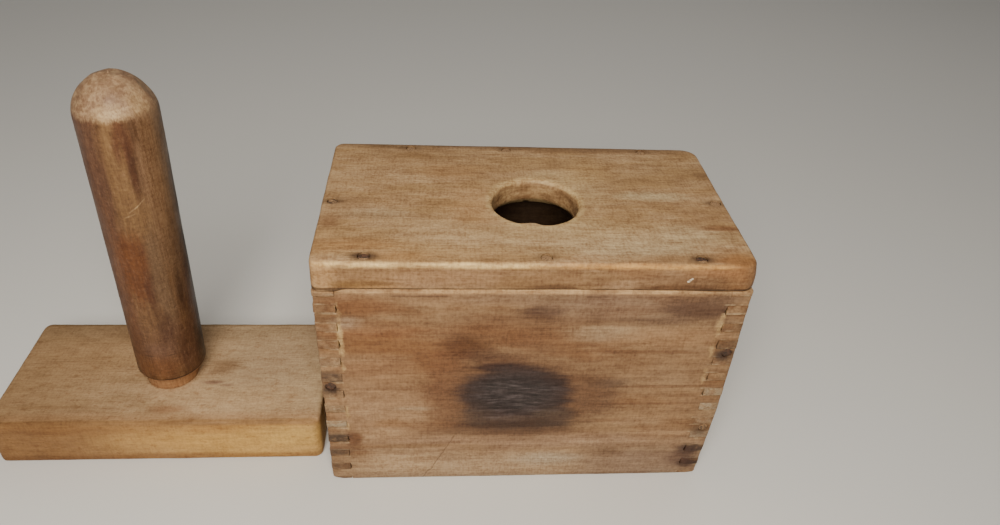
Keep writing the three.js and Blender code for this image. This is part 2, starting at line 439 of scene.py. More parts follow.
class Nail:
    """A nail's place and direction, read from its CAD node."""

    def __init__(self, node, seed):
        lo, hi = box_mm(node)
        head = (lo + hi) / 2
        self.node = node
        self.seed = seed
        self.on_top = node.startswith("top")
        if self.on_top:
            head[2] = hi[2]
            self.length = hi[2] - lo[2]
            self.turn = Matrix.Identity(3)
        else:
            front = "front" in node
            head[1] = lo[1] if front else hi[1]
            self.length = hi[1] - lo[1]
            self.turn = Matrix.Rotation(math.pi / 2 if front else -math.pi / 2, 3, "X")
        self.head = head - BOX_FOOT

    def worn(self, p, radius, dented):
        x, y, z = p
        grow = 1 + 0.09 * wobble((2 * x / radius, 2 * y / radius, 0), 1.4, self.seed)
        if dented:
            z += 0.12 * wobble((x, y, 0), 1.3, self.seed + 5)
            grow *= 0.97 if radius > NAIL_RADIUS else 1
        return x * grow, y * grow, z

    def shell(self, profile, dented):
        """The nail or its hole, a little out of round; a nail's head is dented too."""
        rings = []
        for radius, z in profile(self.length):
            ring = circle(radius, NAIL_SIDES, z)
            rings.append([self.worn(p, radius, dented) for p in ring] if radius else ring)
        points, faces = skin(rings)
        return [np.array(self.turn @ Vector(p)) + self.head for p in points], faces


# How much of a nail's head is hidden by dirt; the others are bare rust.
NAIL_DIRT = {
    "top_nail_front_middle": 0.8,
    "top_nail_back_left": 0.8,
    "top_nail_back_middle": 0.8,
    "top_nail_back_right": 0.9,
    "top_nail_front_left": 0.1,
    "top_nail_front_right": 0.1,
    "top_nail_left_end": 0.45,
    "top_nail_right_end": 0.6,
    "corner_nail_front_right_2": 0.5,
    "corner_nail_back_left_1": 0.3,
}

nail_nodes = sorted(node for node in frame["nodes"] if "nail" in node)
nails = [Nail(node, 1.0 + 3.7 * i) for i, node in enumerate(nail_nodes)]
top_nails = [nail for nail in nails if nail.on_top]
corner_nails = [nail for nail in nails if not nail.on_top]


def with_nail_holes(mesh, chosen):
    points, faces = [], []
    for nail in chosen:
        more, sides = nail.shell(nail_hole_profile, dented=False)
        faces.extend(tuple(i + len(points) for i in side) for side in sides)
        points.extend(more)
    return cut_holes(mesh, mesh_of("nail_holes", points, faces))


def rusty_iron():
    graph = Graph("rusty_iron")
    place = graph.place(BOX_FOOT)
    rust = place.noise(1.3, detail=5, roughness=0.6)
    fine = place.noise(0.3, detail=3, shift=4)
    colour = graph.mix(rust.step(0.4, 0.62), "33261d", "573825").cover(fine.step(0.6, 0.72), "7a5236")
    dirt = graph.mix(fine.step(0.4, 0.6), "6a4f38", "a07d56")
    covered = (graph.attribute("dirt") + rust * 0.8).step(0.72, 0.98)
    surface = {
        "Base Color": colour.cover(covered, dirt),
        "Roughness": rust.step(0.3, 0.7, 0.6, 0.9),
        "Metallic": rust.step(0.6, 0.4, 0.0, 0.25),
    }
    return graph.finish(rust + fine * 0.4, 0.7, 0.25, surface)


# ---------------------------------------------------------------- walls of the box

TIP_WEAR = 0.55  # the most that a finger's tip is worn back
TIP_TWIST = 0.15
WALL_BEVEL = 0.32
CORNER_WEAR = 1.5
FOOT_WEAR = 1.3

# How far the front right corner bulges at each height.
BULGE_HEIGHTS = (0, 15, 45, 90, 112, 117, 117.4, 123, 130)
BULGES = (0.3, 0.9, 1.9, 1.5, 0.9, 1.2, 2.0, 2.3, 0.8)
CORNER_SAG = 0.8
SEAM_WAVER = 0.3
SEAM_STEP = 1.3  # how far the seam under the top drops at the left corner


def finger_lines():
    """The heights where one finger ends and the next starts, from the top of the wall down."""
    lines = [WALL_HEIGHT, WALL_HEIGHT - FIRST_FINGER]
    while lines[-1] > FINGER:
        lines.append(lines[-1] - FINGER)
    return lines + [0.0]


FINGER_LINES = finger_lines()
FINGER_COUNT = len(FINGER_LINES) - 1


def finger_at(z):
    """The number of the finger at height z, counted from the top."""
    lower_ends = FINGER_LINES[1:]
    return next((i for i, line in enumerate(lower_ends) if z >= line), FINGER_COUNT - 1)


def wall_side(reach, own, slack, rng):
    """One end of a wall's outline, from the top down, at reach from its middle.

    own is 0 or 1: which fingers, even or odd, are this wall's. Its tips are worn unevenly, and each slot
    is chipped up to slack deeper than the other wall is thick.
    """
    side = []
    for i, (top, bottom) in enumerate(zip(FINGER_LINES, FINGER_LINES[1:])):
        mine = i % 2 == own
        shrink = JOINT_GAP if mine else -JOINT_GAP
        if i:
            top -= shrink
        if i < FINGER_COUNT - 1:
            bottom += shrink
        if mine:
            tip = reach - rng.uniform(0.0, TIP_WEAR)
            twist = rng.uniform(-TIP_TWIST, TIP_TWIST)
            side += [(tip + twist, top), (tip - twist, bottom)]
        else:
            root = reach - WALL - JOINT_GAP
            deeper = slack * rng.random() if i else 0
            side += [(root, top), (root - deeper, 0.35 * top + 0.65 * bottom), (root, bottom)]
    return side


def sliced_board(outline, cuts_u, cuts_z):
    """A wall from its outline, cut into a grid that can be worn, with eased edges."""
    bm = bmesh.new()
    face = bm.faces.new([bm.verts.new((u, 0, z)) for u, z in outline])
    pushed = bmesh.ops.extrude_face_region(bm, geom=[face])
    moved = [v for v in pushed["geom"] if isinstance(v, bmesh.types.BMVert)]
    bmesh.ops.translate(bm, verts=moved, vec=(0, WALL, 0))
    bmesh.ops.recalc_face_normals(bm, faces=bm.faces)
    for normal, cuts in (((1, 0, 0), cuts_u), ((0, 0, 1), cuts_z), ((0, 1, 0), [WALL / 2])):
        for cut in cuts:
            everything = bm.verts[:] + bm.edges[:] + bm.faces[:]
            place = Vector(normal) * cut
            bmesh.ops.bisect_plane(bm, geom=everything, plane_co=place, plane_no=normal, dist=1e-5)
    sharp = [e for e in bm.edges if e.is_manifold and e.calc_face_angle() > math.radians(40)]
    look = {"segments": 2, "profile": 0.6, "affect": "EDGES", "clamp_overlap": True}
    bmesh.ops.bevel(bm, geom=sharp, offset=WALL_BEVEL, **look)
    mesh = bpy.data.meshes.new("board")
    bm.to_mesh(mesh)
    bm.free()
    return mesh


def wall_mesh(reach, own, slack, rng):
    right, left = (wall_side(reach, own, slack, rng) for _ in range(2))
    outline = right + [(-u, z) for u, z in reversed(left)]
    root = reach - WALL
    cuts_u = [side * cut for side in (-1, 1) for cut in (root + 3.2, root + 6.0, root + 7.9)]
    cuts_u += list(np.linspace(-root + 3.4, root - 3.4, int(root * 2 / 4.2)))
    cuts_z = [(a + b) / 2 for a, b in zip(FINGER_LINES, FINGER_LINES[1:])][1:-1]
    return sliced_board(outline, cuts_u, cuts_z)


def round_off(a, b, half_a, half_b, radius):
    """Pulls the point (a, b) in to a rounded corner of the rectangle of those half sizes."""
    over_a = abs(a) - (half_a - radius)
    over_b = abs(b) - (half_b - radius)
    distance = math.hypot(over_a, over_b)
    if over_a <= 0 or over_b <= 0 or distance <= radius:
        return a, b
    keep = radius / distance
    rounded_a, rounded_b = half_a - radius + over_a * keep, half_b - radius + over_b * keep
    return math.copysign(rounded_a, a), math.copysign(rounded_b, b)


def out_of_true(p, _normal=None):
    """Where a point of the box really is: a corner bulges, and the seam under the top wavers."""
    x, y, z = p
    corner = smooth(x, 40, 89) * smooth(-y, -25, 45)
    x += corner * np.interp(z, BULGE_HEIGHTS, BULGES)
    z -= corner * CORNER_SAG * smooth(z, 20, 110)
    seam = SEAM_WAVER * wobble((x, 0, 0), 19, 11.0) - SEAM_STEP * smooth(-x, 75, 80.5)
    z += seam * (smooth(z, 103, 116) if z < WALL_HEIGHT + 0.02 else smooth(-z, -127, -118))
    return x, y, z


def foot_radius(x, y):
    """How far the box's lower corners are worn round: most at the front left."""
    if x < 0:
        return 4.6 if y < 0 else 3.0
    return 3.2 if y < 0 else 3.6


def wear_box_wall(p, n):
    """Rounds the standing corners and the foot of the box and makes its faces slightly uneven."""
    x, y, z = p
    outside = abs(x) > HALF_LENGTH - CORNER_WEAR or abs(y) > HALF_WIDTH - CORNER_WEAR
    corner = CORNER_WEAR + 0.5 * wobble((0, 0, z), 9, 2.0 if x < 0 else 7.0)
    x, y = round_off(x, y, HALF_LENGTH, HALF_WIDTH, corner)
    middle = WALL_HEIGHT / 2
    if z < middle:
        low = z - middle
        x, low = round_off(x, low, HALF_LENGTH, middle, foot_radius(x, y))
        y, low = round_off(y, low, HALF_WIDTH, middle, FOOT_WEAR)
        z = low + middle
    if outside:
        depth = 0.16 * wobble((x, y, z), 34, 1.0) + 0.07 * wobble((x, y, z), 9, 3.0)
        x += n[0] * depth
        y += n[1] * depth
    return out_of_true((x, y, z))


def random_tones(seed, low=-0.4, high=0.4):
    rng = random.Random(seed)
    return [[rng.uniform(low, high) for _ in range(FINGER_COUNT)] for _ in range(2)]


def with_front_tones(seed, tones):
    """Tones of an end wall's fingers: those that show on the front are given, from the top down."""
    front, back = random_tones(seed)
    front[::2] = tones
    return [front, back]


# How dark (-1) or pale (+1) each finger is, at a wall's lower and upper end of X or Y.
LEFT_TONES = [0.2, -0.25, 0.2, 0.2, 0.35, -0.6, 0.0, 0.5, 0.85, -1.0, -0.5, -0.5, 0.0]
RIGHT_TONES = [0.15, -0.2, -0.25, -0.5, 0.35, 0.0, 0.6, 0.75, 0.4, 0.6, -0.9, -0.9, 0.0]
finger_tones = {
    "front_wall": random_tones(5, -0.1, 0.1),
    "back_wall": random_tones(6),
    "left_end_wall": with_front_tones(21, LEFT_TONES),
    "right_end_wall": with_front_tones(22, RIGHT_TONES),
}


def build_wall(name, axis, side, slack, seed, material):
    """A wall that runs along axis 0 or 1 and stands on the low (-1) or high (1) side of the other one."""
    rng = random.Random(seed)
    reach, half = (HALF_WIDTH, HALF_LENGTH) if axis else (HALF_LENGTH, HALF_WIDTH)
    mesh = wall_mesh(reach, 1 - axis, slack, rng)
    # The board lies in the XZ plane with its outer face at y = 0, and is pushed out and turned to its side.
    spin = side * math.pi / 2 if axis else (side + 1) * math.pi / 2
    mesh.transform(Matrix.Rotation(spin, 4, "Z") @ Matrix.Translation((0, -half, 0)))
    mesh = with_nail_holes(mesh, [nail for nail in nails if nail.head[1 - axis] * side > half - 6])
    heights = [rng.uniform(-0.1, 0.28) for _ in range(FINGER_COUNT)]

    def wear(p, n):
        x, y, z = wear_box_wall(p, n)
        if axis == 1 and abs(p[1]) > HALF_WIDTH - 0.5:
            # The end grain of the end walls stands a little proud of the long faces.
            y += math.copysign(heights[finger_at(p[2])], y)
        return x, y, z

    def tone(p):
        if abs(p[axis]) < reach - WALL - 0.05:
            return 0.0
        return finger_tones[name][0 if p[axis] < 0 else 1][finger_at(p[2])]

    finish_piece(name, mesh, BOX_FOOT, material, "box", wear, {"tone": tone})


# ---------------------------------------------------------------- marks on the box

# Marks on the front of the box: X, Z, half width, half height, softness, strength and colour.
FRONT_MARKS = [
    # washed wood low down and in patches
    (-14, 6, 64, 13, 0.6, 0.9, "c0a07c"),
    (-58, 12, 18, 6, 0.7, 0.7, "ceab82"),
    (14, 13, 14, 4, 0.7, 0.7, "c4ae90"),
    (62, 9, 32, 11, 0.6, 0.8, "a08268"),
    (40, 21, 11, 5, 0.7, 0.7, "8c6c4e"),
    (10, 26, 74, 5, 0.7, 0.8, "b39070"),
    (-62, 47, 22, 19, 0.6, 0.75, "b38d68"),
    (-64, 33, 10, 4, 0.7, 0.7, "c09a72"),
    (-64, 73, 20, 10, 0.6, 0.6, "a47a55"),
    (-76, 100, 6, 3.2, 0.6, 0.9, "b39475"),
    (-42, 101, 20, 3.4, 0.7, 0.5, "9f7c58"),
    (-55, 112.5, 28, 3.6, 0.7, 0.5, "a27c58"),
    (14, 112.5, 44, 3.2, 0.7, 0.5, "9a7b60"),
    (29, 94, 14, 4.5, 0.6, 0.85, "aa8b6a"),
    (62, 91, 22, 5.5, 0.6, 0.8, "ae865f"),
    (58, 74, 24, 11, 0.7, 0.55, "9b7653"),
    (66, 46, 15, 14, 0.7, 0.65, "a57e58"),
    (68, 30, 14, 4, 0.7, 0.6, "b8916a"),
    (-48, 49, 10, 1.2, 0.6, 0.5, "c0a482"),
    (-62, 21.5, 14, 1.0, 0.6, 0.4, "c0a07a"),
    # brown clouds
    (-70, 108.5, 15, 4.4, 0.6, 0.75, "8c5d38"),
    (-62, 94.5, 20, 3.6, 0.6, 0.6, "945f38"),
    (-56, 87, 30, 5, 0.6, 0.8, "8f5f36"),
    (-14, 93, 26, 8, 0.6, 0.7, "885c3a"),
    (-38, 78, 10, 6, 0.6, 0.7, "865730"),
    (-28, 86, 11, 6.5, 0.5, 0.85, "603a1e"),
    (-28, 82, 5, 2.2, 0.5, 0.7, "573216"),
    (-18, 80, 12, 4.4, 0.6, 0.8, "5f3d29"),
    (-46, 82, 8, 3, 0.6, 0.6, "80522f"),
    (0, 102, 30, 4, 0.6, 0.6, "805c3f"),
    (44, 100.5, 40, 2.6, 0.6, 0.6, "846347"),
    (4, 105.5, 9, 3.6, 0.5, 0.95, "5f3e28"),
    (10, 110.5, 10, 4, 0.6, 0.6, "846549"),
    (33, 108, 30, 6, 0.6, 0.5, "947760"),
    (68, 107, 16, 5.4, 0.45, 0.9, "674936"),
    (78, 112, 9, 3, 0.6, 0.6, "7c5f4a"),
    (56, 101, 12, 2.6, 0.6, 0.6, "86684f"),
    (44, 101.5, 16, 1.0, 0.5, 0.5, "74563f"),
    (-35, 61, 9, 25, 0.6, 0.65, "845636"),
    (-38, 37, 14, 4.4, 0.6, 0.6, "8c613e"),
    (-60, 39.5, 10, 2.6, 0.6, 0.6, "986c45"),
    (-77.5, 29, 4, 5.5, 0.5, 0.95, "7a5133"),
    (-50, 23.8, 26, 1.6, 0.6, 0.6, "967049"),
    (-8, 34, 30, 3.6, 0.6, 0.75, "664732"),
    (32, 58, 11, 14, 0.6, 0.75, "76543a"),
    (36, 64.5, 10, 2.6, 0.6, 0.7, "70543e"),
    (60, 62, 20, 0.8, 0.7, 0.45, "a87850", "stain"),
    (56, 51, 22, 0.7, 0.7, 0.4, "ac7e54", "stain"),
    (52, 83, 24, 1.0, 0.7, 0.35, "b0825a", "stain"),
    (40, 40, 22, 1.2, 0.7, 0.4, "b89070", "stain"),
    (-62, 99.5, 10, 2.0, 0.6, 0.7, "8f6440"),
    (-64, 63, 12, 2.0, 0.6, 0.4, "8f6a4a"),
    (-20, 22, 10, 2.4, 0.6, 0.4, "8f6c4a"),
    (28, 41, 8, 4, 0.6, 0.4, "7d5f44"),
    (-76, 113, 4, 1.6, 0.6, 0.7, "b08660"),
    (54, 39, 12, 3, 0.6, 0.6, "b8946e"),
    # the blackened oval and its edges
    (-3, 56, 35, 28, 0.3, 0.75, "79553a"),
    (-5, 40, 21, 6.5, 0.6, 0.8, "553f2f"),
    (-12, 74.2, 13, 2.4, 0.5, 0.9, "3f2318"),
    (0, 38, 23, 2.8, 0.5, 0.85, "4c3425"),
    (-4, 57.5, 25.5, 17.5, 0.2, 0.94, "452f28"),
    (15, 43, 9, 6.5, 0.5, 0.85, "503a2c"),
    (-20, 46, 7, 8, 0.5, 0.8, "523d30"),
    (-5, 58.5, 20, 13, 0.5, 0.9, "3a312f"),
    (-4, 42, 12, 1.8, 0.6, 0.5, "6b5546"),
    (11, 45, 7, 2.2, 0.6, 0.4, "6f5a48"),
]

# Rust and dirt round the nails and along the fingers, over the joint's pale lines.
RUST_MARKS = [
    (82.0, 17.5, 5.5, 4.2, 0.6, 0.85, "4a3027"),
    (83.0, 8.8, 4.6, 3.6, 0.6, 0.85, "452b23"),
    (78, 12.5, 6, 4.6, 0.7, 0.6, "6b4a38"),
    (-85, 31.5, 5, 1.6, 0.7, 0.7, "4c382b"),
    (-85, 20.5, 5, 1.8, 0.7, 0.6, "5a4434"),
    (-84, 10.5, 5, 1.6, 0.7, 0.6, "6b4c35"),
    (-85, 70.5, 5, 2.2, 0.7, 0.6, "5c4637"),
]

# Marks on the top: X, Y and the rest as above.
TOP_MARKS = [
    (57, 3, 15, 3.4, 0.6, 0.8, "c5ae89"),
    (42, -37, 24, 7, 0.7, 0.75, "c0a987"),
    (66, -28, 14, 7, 0.7, 0.6, "bea683"),
    (-45, -41, 28, 6, 0.7, 0.55, "c2a073"),
    (-48, -22, 20, 5, 0.6, 0.6, "ba9c76"),
    (-66, -14, 14, 4, 0.7, 0.4, "b39d80"),
    (28, 8, 8, 14, 0.7, 0.6, "c0a37a"),
    (14, 18, 14, 6, 0.7, 0.65, "c6a97c"),
    (20, -22, 16, 6, 0.7, 0.5, "c0a478"),
    (-24, -6, 10, 14, 0.7, 0.5, "c09769"),
    (-8, -14, 12, 5, 0.7, 0.5, "c3a276"),
    (-33, 22, 16, 7, 0.6, 0.5, "a1784e"),
    (-52, 40, 26, 5, 0.6, 0.55, "92714d"),
    (-50, -2, 22, 5, 0.6, 0.45, "a38057"),
    (-6, -30, 16, 3, 0.6, 0.4, "a38056"),
    (-78, -6, 8, 7, 0.6, 0.55, "977655"),
    (-72, -37, 18, 4, 0.6, 0.7, "a4794b"),
    (-55, -44, 12, 3, 0.6, 0.5, "a17446"),
    (-84, -20, 4, 5, 0.6, 0.7, "886344"),
    (60, -45, 18, 3, 0.6, 0.65, "98744e"),
    (82, -45, 9, 6, 0.6, 0.75, "98683a"),
    (81, -22, 9, 2.2, 0.5, 0.85, "835736"),
    (76, -12, 12, 9, 0.6, 0.5, "a07c56"),
    (85, 22, 4, 2.6, 0.5, 0.8, "6a4a31"),
    (66, 22, 24, 10, 0.7, 0.5, "9e7d55"),
    (40, 45, 44, 3, 0.6, 0.6, "8f6e4e"),
    # The next two: painted shade along the back edge and a painted band of light near the front, where the
    # light falls off over the top.
    (0, 50, 110, 5, 0.6, 0.85, "775a3f"),
    (22, -31, 60, 9, 0.7, 0.5, "ccb188"),
    (10, 10, 14, 5, 0.6, 0.5, "d0b384"),
    (30, 22, 12, 8, 0.7, 0.4, "bf9c6c"),
    (-62, 46, 20, 2.4, 0.6, 0.7, "826545"),
]

# Marks on the front edge of the top board: X, Z and the rest as above.
TOP_EDGE_MARKS = [
    (-4, 119, 12, 2.6, 0.6, 0.7, "836241"),
    (8, 123, 12, 2.6, 0.6, 0.5, "8e6c4e"),
    (-68, 119.5, 12, 2.2, 0.5, 0.8, "7f5b2d"),
    (42, 126, 10, 3, 0.6, 0.7, "946e4c"),
    (62, 120, 16, 3, 0.6, 0.6, "836344"),
    (72, 126, 12, 3, 0.6, 0.6, "a7764c"),
    (-45, 123, 30, 4, 0.7, 0.5, "a17d5b"),
    (6, 118, 9, 1.8, 0.6, 0.85, "6e4f35"),
    (58, 118, 18, 2.0, 0.6, 0.85, "6b4a30"),
    (58, 122.5, 18, 2.4, 0.6, 0.6, "87664a"),
    (26, 122, 8, 3, 0.6, 0.5, "8a6a4c"),
    (-62, 118, 10, 1.2, 0.6, 0.6, "b88f62"),
    (-85, 123, 5, 7, 0.6, 0.75, "c39c6e"),
    (61.4, 121.6, 0.6, 0.42, 0.3, 0.95, "f4ead6"),
    (62.1, 122.3, 0.5, 0.42, 0.3, 0.95, "f4ead6"),
    (62.7, 122.9, 0.4, 0.36, 0.3, 0.9, "f4ead6"),
]

# Marks on the press board: X, Y and the rest as above, and X, Z on its front.
PRESS_MARKS = [
    # Painted shade: the left end is darkened where the light falls off.
    (-80, 0, 60, 60, 0.7, 0.75, "94734f"),
    (0, 32, 90, 11, 0.8, 0.8, "d8dada", "stain"),
    (-20, 12, 40, 16, 0.7, 0.4, "ab8760"),
    (52, 2, 30, 26, 0.7, 0.8, "b89d7c"),
    (44, -22, 36, 9, 0.7, 0.7, "c8a880"),
    (76, -12, 12, 22, 0.7, 0.7, "c8ac86"),
    (-16, 28, 24, 8, 0.7, 0.6, "7f5f40"),
    (24, 2, 8, 5, 0.6, 0.6, "b09a88", "stain"),
    (21, -9, 5, 1.3, 0.6, 0.85, "8a6a55"),
    (28, -11, 3, 0.9, 0.6, 0.6, "8a6a55"),
    (4, -27, 9, 2.6, 0.6, 0.6, "c4a494", "stain"),
    (-52, -25, 12, 1.0, 0.6, 0.3, "b59a80", "stain"),
]

PRESS_FRONT_MARKS = [
    # Painted shade: the left end of the front is darkened where the light falls off.
    (-66, 12, 44, 24, 0.7, 0.85, "8a643f"),
    (34, 14, 44, 8, 0.7, 0.8, "c79b58"),
    (64, 16, 14, 7, 0.6, 0.7, "d2ac66"),
    (28, 21, 13, 2.6, 0.6, 0.35, "c49062", "stain"),
    (36, 22.5, 6, 1.4, 0.6, 0.3, "a67a54", "stain"),
    (48, 10, 30, 14, 0.7, 0.5, "d4ab62"),
    (-30, 21, 34, 2.6, 0.6, 0.4, "bfa080", "stain"),
    (0, 2.0, 90, 2.6, 0.6, 0.6, "bca088", "stain"),
]

# Marks on the handle, as unrolled from the side that faces the viewer: how far round to the right and how
# far up the shaft in millimetres, and the rest as for the box.
HANDLE_MARKS = [
    (-19, 110, 10, 90, 0.3, 0.85, "634434"),
    (-15, 60, 5, 60, 0.6, 0.6, "6e482f"),
    (15, 118, 12, 40, 0.5, 0.85, "866c56"),
    (15, 76, 11, 26, 0.6, 0.8, "745942"),
    (8, 122, 5, 26, 0.6, 0.7, "86664a"),
    (20, 122, 6, 34, 0.6, 0.7, "7d6650"),
    # painted shade on the right side, where the shaft turns away from the light
    (24, 58, 7, 52, 0.6, 0.8, "37271e"),
    (-5, 120, 3.8, 28, 0.4, 0.9, "876846"),
    (-2.5, 100, 6.0, 17, 0.5, 0.85, "826341"),
    (-0.8, 135, 3.8, 9, 0.4, 0.9, "643e25"),
    (-1.8, 127, 0.9, 8, 0.5, 0.5, "826341"),
    (0.7, 122, 1.5, 13, 0.5, 0.85, "502f1a"),
    (-7, 76, 6.8, 19, 0.35, 0.95, "6c401f"),
    (-2.6, 66, 2.0, 9, 0.6, 0.7, "54311c"),
    (2, 72, 3.4, 22, 0.5, 0.85, "715841"),
    (3.6, 52, 2.6, 14, 0.5, 0.85, "745a43"),
    (9.5, 58, 1.7, 10, 0.6, 0.8, "422c1e"),
    (17, 42, 9, 22, 0.6, 0.7, "573a29"),
    (1, 42, 3.2, 8, 0.5, 0.7, "4e311f"),
    (0, 28, 40, 13, 0.5, 0.5, "664532"),
    (-5, 28, 7, 5, 0.6, 0.6, "755646"),
    (-7, 18, 10, 7, 0.6, 0.7, "7a5030"),
    (12, 26, 8, 10, 0.6, 0.7, "553624"),
    # the next two: painted shade on the right side, where the shaft turns away from the light
    (21, 20, 7, 16, 0.6, 0.8, "2c1b14"),
    (25, 66, 5.5, 78, 0.5, 0.85, "241912"),
]


# ---------------------------------------------------------------- the box's materials


def thin_line(value, at, wide, narrow, strength=1.0):
    """A line where value is near at: nothing beyond wide of it, full strength within narrow."""
    return abs(value - at).step(wide, narrow, 0.0, strength)


def nail_halos(place, colour, ragged, chosen, radii, strength):
    """Rust that has crept into the wood round the nails, and below them on the walls."""
    for nail in chosen:
        centre = nail.head - (0, 0, 0 if nail.on_top else 1.4)
        here = strength * (1 - 0.8 * NAIL_DIRT.get(nail.node, 0.0))
        colour = colour.cover(place.spot(centre, radii, 0.6, ragged * 0.7, here), "4d3729")
    return colour


# Bruises beside the joints on the front: X, Z, half width, half height and strength.
BRUISES = [
    (-79.2, 92, 1.3, 13, 0.75),
    (-79.2, 75, 1.1, 4, 0.6),
    (-79.2, 47.5, 1.1, 4.5, 0.6),
    (-79.2, 38, 0.8, 2.5, 0.5),
    (79.7, 98, 1.2, 7, 0.6),
    (79.4, 84, 1.2, 4, 0.5),
    (79.4, 68, 1.0, 6, 0.4),
]


def corner_wear(place, colour, x, z):
    """The pale bruised wood beside the joints' slots and along the edges of the fingers."""
    rough_edge = (place.noise([3, 3, 4], detail=4, roughness=0.7, shift=51) - 0.45) * 3.2
    for side, height, wide, tall, strength in BRUISES:
        bruise = place.spot([side, -HALF_WIDTH, height], [wide, 9, tall], 0.5, rough_edge, strength)
        colour = colour.cover(bruise, "d6b27a")
    # How far a point is from the middle of its finger, as a share of a finger.
    from_middle = abs(((z + (FIRST_FINGER - WALL_HEIGHT)) * (1 / FINGER)).math("FRACT") - 0.5)
    corner = abs(x).step(HALF_LENGTH - WALL - 1.2, HALF_LENGTH - WALL)
    worn = place.noise(6, detail=2, shift=53).step(0.42, 0.6, 0.0, 0.6)
    return colour.cover(from_middle.step(0.37, 0.46) * corner * worn, "c4a882")


def crack(place, colour, x, z):
    """The thin crack that climbs from the foot of the front in a slight curve."""
    course = z * 0.62 + -46.4 + z.math("POWER", 2.0) * -0.0045
    waver = (place.noise(5, detail=3, shift=57) - 0.5) * 3.0
    seen = thin_line(x + waver, course, 0.55, 0.15) * z.step(36, 28, 0.0, 0.55)
    return colour.cover(seen, "6f4d33")


def burnt_streaks(place, colour, ragged):
    """Grey fibres that show through the blackened oval on the front."""
    inside = place.spot([-5, -HALF_WIDTH, 56], [19, 25, 13], 0.5, ragged)
    fibres = place.noise(along(0, 9, 1.5), detail=4, roughness=0.6, distortion=0.1, shift=95)
    colour = colour.cover(inside * fibres.step(0.44, 0.7, 0.0, 0.6), "695b59")
    return colour.cover(inside * fibres.step(0.5, 0.34, 0.0, 0.75), "231a16")


def finger_tints(place, colour):
    """The fingers' own tones."""
    tone = place.graph.attribute("tone")
    tone *= place.noise([3, 3, 2], detail=3, shift=49).step(0.35, 0.65, 0.5, 1.15)
    colour = colour.cover(tone.step(0.0, 1.0, 0.0, 0.8), "bea98a")
    return colour.cover(tone.step(0.0, -1.0, 0.0, 0.9), "4e3a2c")


def wall_lip_highlight(place, colour, z):
    """A painted highlight on the lip under the top board, where its bevel catches the light, with a broken
    dark line below it.
    """
    patchy = place.noise(12, detail=3, shift=59).step(0.35, 0.6, 0.3, 0.9)
    # Painted highlight on the lip's bevel.
    colour = colour.cover(z.step(WALL_HEIGHT - 2.6, WALL_HEIGHT - 1.4) * patchy, "d8ae7c")
    broken = place.noise(16, detail=3, shift=58).step(0.45, 0.6, 0.0, 0.6)
    return colour.cover(thin_line(z, WALL_HEIGHT - 3.4, 0.8, 0.2) * broken, "6a4a33")


def box_wall_material(name, axis, shift, front=False):
    place = Graph(name).place(BOX_FOOT)
    x, y, z = place.split()
    pith = [-130, 0, 40] if axis else [0, -115, 82]
    colour, figure = wood(place, axis, "a6825d", "8f6643", pith, ring=4.2, shift=shift)
    # Brown clouds and pale patches that old washing and handling left, stretched along the grain.
    strength = 0.6 if front else 0.8
    clouds = place.noise(along(axis, 45, 15), detail=4, roughness=0.6, distortion=0.3, shift=shift + 41)
    colour = colour.cover(clouds.step(0.5, 0.72, 0.0, strength), "76502f")
    washed = place.noise(along(axis, 60, 20), detail=3, shift=shift + 43)
    colour = colour.cover(washed.step(0.52, 0.7, 0.0, strength * 0.8), "b0906c")
    ragged = ragged_edges(place, axis, shift + 47)
    if front:
        colour = patches(place, colour, ragged, 1, -HALF_WIDTH, FRONT_MARKS)
        colour = burnt_streaks(place, colour, ragged)
        colour = crack(place, colour, x, z)
    colour = finger_tints(place, colour)
    colour = corner_wear(place, colour, x, z)
    if front or axis == 1:
        colour = patches(place, colour, ragged, 1, -HALF_WIDTH, RUST_MARKS)
    colour = nail_halos(place, colour, ragged, corner_nails, [4.0, 5, 3.4], 1.0)
    colour = wall_lip_highlight(place, colour, z)
    # The faces inside the box are darkened with painted shade.
    inside_x = abs(x).step(HALF_LENGTH - WALL + 1.2, HALF_LENGTH - WALL + 0.4)
    inside_y = abs(y).step(HALF_WIDTH - WALL + 1.2, HALF_WIDTH - WALL + 0.4)
    colour = colour.stain(inside_x * inside_y * 0.9, "4a3728")
    return finish_wood(place, colour, figure, "f3f8fa", roughness=0.6)


def hole_wear(place, colour, ragged, z):
    """Hand-rubbed wood round the hole, pale on its rim and darker inside."""
    from_hole = place.vector("SUBTRACT", [*HOLE, 0]).vector("MULTIPLY", [1, 1, 0]).vector("LENGTH")
    rim = from_hole.step(HOLE_RADIUS + 4.5, HOLE_RADIUS + 1.6)
    rim *= from_hole.step(HOLE_RADIUS + 0.1, HOLE_RADIUS + 0.5)
    colour = colour.cover(rim * ragged.step(0.2, -0.4, 0.3, 0.8), "d6b985")
    bore = from_hole.step(HOLE_RADIUS + 0.9, HOLE_RADIUS + 0.3) * z.step(BOX_HEIGHT - 1, BOX_HEIGHT - 2)
    stain = place.noise([9, 9, 4], detail=3, shift=65).step(0.4, 0.65)
    return colour.cover(bore * 0.8, place.graph.mix(stain, "b8966c", "8c6948"))


def rubbed_arris_and_highlight(place, colour, x, y, z):
    """The front edge of the top, rubbed and given a painted highlight: a thin bright line that is warmer
    towards the right.
    """
    arris = y.step(-HALF_WIDTH + 1.8, -HALF_WIDTH + 0.3) * z.step(BOX_HEIGHT - 3.4, BOX_HEIGHT - 1.5)
    arris *= x.step(84, 72)
    arris *= place.noise([14, 3, 3], detail=4, shift=67).step(0.35, 0.62, 0.4, 1.0)
    # These tones are a painted highlight laid over the rubbed wood.
    rubbed = place.graph.mix(x.step(-12, 16), "f4d294", "cf9f62").cover(x.step(-80, -86), "d8b27a")
    return colour.cover(arris, rubbed)


